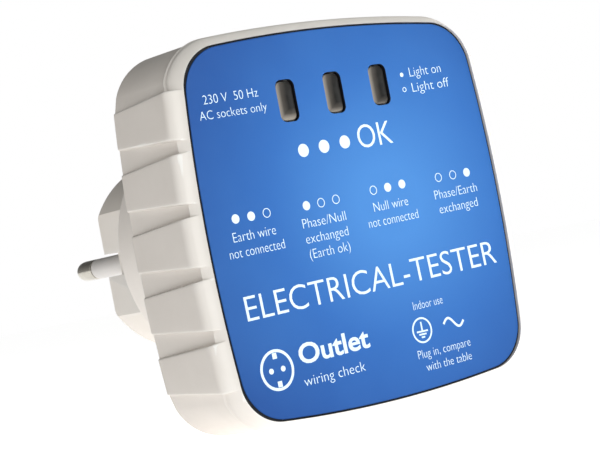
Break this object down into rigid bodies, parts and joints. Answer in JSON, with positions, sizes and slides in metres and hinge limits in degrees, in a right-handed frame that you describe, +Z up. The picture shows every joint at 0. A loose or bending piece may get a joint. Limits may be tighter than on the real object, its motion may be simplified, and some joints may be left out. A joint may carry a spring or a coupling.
{
  "type": "outlet tester plug",
  "caption": "Square outlet tester with a labelled front, lamp windows and grip pads, on a round collar and an earthed two-pin plug.",
  "frame": {"origin": "centre of the plug block's flat end face", "axes": "+Z up; +Y along the pins, away from the head, so the label faces -Y; +X to the right seen from the label's side"},
  "size_m": [0.0722, 0.0797, 0.0702],
  "materials": {
    "housing": "light warm grey moulded plastic, fine satin grain",
    "label": "blue printed plate, satin, white print",
    "lens": "dark smoky lens, smooth",
    "carrier": "dark grey moulded plastic",
    "pin_metal": "nickel plated, lightly brushed",
    "sleeve": "grey insulating sleeve, satin",
    "contact_metal": "plated spring strip",
    "board": "green circuit board",
    "lamp": "clear diffused lamp",
    "holder": "black light shield",
    "resistor": "tan lacquered resistor",
    "diode": "black moulded diode",
    "wire_brown": "brown insulated wire",
    "wire_blue": "blue insulated wire",
    "wire_green": "green and yellow insulated wire",
    "screw": "zinc plated screw"
  },
  "bodies": {
    "root": {"board_screw_left": "screw", "board_screw_right": "screw", "carrier_screw_1": "screw", "carrier_screw_2": "screw", "circuit_board": "board", "contact_carrier": "carrier", "cover_screw_1": "screw", "cover_screw_2": "screw", "cover_screw_3": "screw", "cover_screw_4": "screw", "diode_1": "diode", "diode_2": "diode", "diode_3": "diode", "earth_bridge": "contact_metal", "earth_clip_bottom": "contact_metal", "earth_clip_top": "contact_metal", "front_housing": "housing", "front_label": "label", "lamp_holder": "holder", "lamp_left": "lamp", "lamp_middle": "lamp", "lamp_right": "lamp", "pin_left": "pin_metal", "pin_right": "pin_metal", "plug_insert": "housing", "rear_cover": "housing", "resistor_1": "resistor", "resistor_2": "resistor", "resistor_3": "resistor", "sleeve_left": "sleeve", "sleeve_right": "sleeve", "window_left": "lens", "window_middle": "lens", "window_right": "lens", "wire_earth": "wire_green", "wire_live": "wire_brown", "wire_neutral": "wire_blue"}
  },
  "joints": []
}
